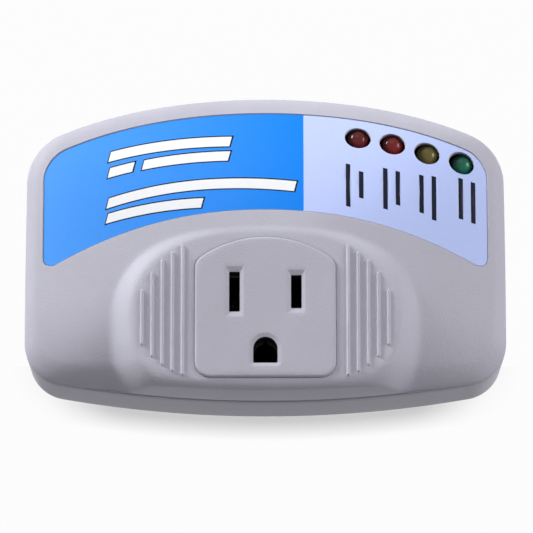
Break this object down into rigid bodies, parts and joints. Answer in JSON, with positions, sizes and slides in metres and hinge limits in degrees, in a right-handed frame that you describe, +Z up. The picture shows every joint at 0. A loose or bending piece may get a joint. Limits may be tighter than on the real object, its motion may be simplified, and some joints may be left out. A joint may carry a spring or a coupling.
{
  "type": "surge protector",
  "caption": "Direct plug-in surge and voltage protector: domed barrel-shaped housing with a grounded socket, a curved label with indicator lamps, and blades on the back.",
  "frame": {"origin": "root of the ground pin, at its middle, on the face of the wall pad", "axes": "+X to the right seen from the front, +Y along the ground pin into the wall, +Z up as plugged in"},
  "size_m": [0.0996, 0.053, 0.0646],
  "materials": {
    "shell_grey": "fine moulded texture, satin",
    "label_print": "printed sheet, semi-gloss",
    "lamp_red": "tinted clear epoxy, unlit",
    "lamp_amber": "tinted clear epoxy, unlit",
    "lamp_green": "tinted clear epoxy, unlit",
    "tinned_lead": "tinned",
    "board_green": "solder resist over glass laminate",
    "black_moulding": "satin moulding",
    "ivory_moulding": "satin moulding",
    "contact_brass": "pressed strip",
    "spring_bronze": "pressed strip",
    "plated_blade": "nickel plated, satin",
    "fibre_sheet": "vulcanised fibre",
    "relay_case": "moulded case",
    "copper_wire": "enamelled wire",
    "soft_iron": "plated iron",
    "capacitor_yellow": "moulded box",
    "varistor_blue": "dipped epoxy",
    "can_sleeve": "sleeved can",
    "fuse_brown": "moulded body",
    "chip_black": "moulded epoxy",
    "resistor_tan": "lacquered",
    "trimmer_blue": "moulded body",
    "zinc_screw": "zinc plated"
  },
  "bodies": {
    "housing": {"front_housing": "shell_grey", "socket_face": "shell_grey", "rear_housing": "shell_grey", "label_sheet": "label_print", "led_low_voltage": "lamp_red", "led_high_voltage": "lamp_red", "led_wait": "lamp_amber", "led_normal": "lamp_green", "led_leads": "tinned_lead", "circuit_board": "board_green", "contact_block": "black_moulding", "socket_hot_contact": "contact_brass", "socket_neutral_contact": "contact_brass", "socket_ground_contact": "contact_brass", "plug_hot_blade": "plated_blade", "plug_neutral_blade": "plated_blade", "plug_ground_pin": "plated_blade", "blade_retainer": "fibre_sheet", "relay_base": "black_moulding", "relay_cover": "relay_case", "relay_bobbin": "ivory_moulding", "relay_winding": "copper_wire", "relay_yoke": "soft_iron", "relay_open_contact": "spring_bronze", "relay_closed_contact": "spring_bronze", "dropper_capacitor": "capacitor_yellow", "varistor": "varistor_blue", "smoothing_capacitor": "can_sleeve", "fuse": "fuse_brown", "comparator_chip": "chip_black", "rectifier_diodes": "chip_black", "resistors": "resistor_tan", "low_trimmer_body": "trimmer_blue", "high_trimmer_body": "trimmer_blue", "housing_screws": "zinc_screw", "board_screws": "zinc_screw"},
    "relay_lever": {"relay_armature": "soft_iron", "relay_spring": "spring_bronze"},
    "low_rotor": {"low_trimmer_rotor": "ivory_moulding"},
    "high_rotor": {"high_trimmer_rotor": "ivory_moulding"}
  },
  "joints": [
    {"name": "armature_swing", "type": "hinge", "parent": "housing", "child": "relay_lever", "pos_m": [0.0007, -0.01835, 0.03185], "axis": [0, 0, -1], "range_deg": [0, 3.5], "stiffness_Nm_per_rad": 0.01},
    {"name": "low_trimmer_turn", "type": "hinge", "parent": "housing", "child": "low_rotor", "pos_m": [-0.02955, -0.0112, 0.04346], "axis": [0, -1, 0], "range_deg": [-105, 105]},
    {"name": "high_trimmer_turn", "type": "hinge", "parent": "housing", "child": "high_rotor", "pos_m": [-0.02955, -0.0112, 0.03538], "axis": [0, -1, 0], "range_deg": [-105, 105]}
  ]
}
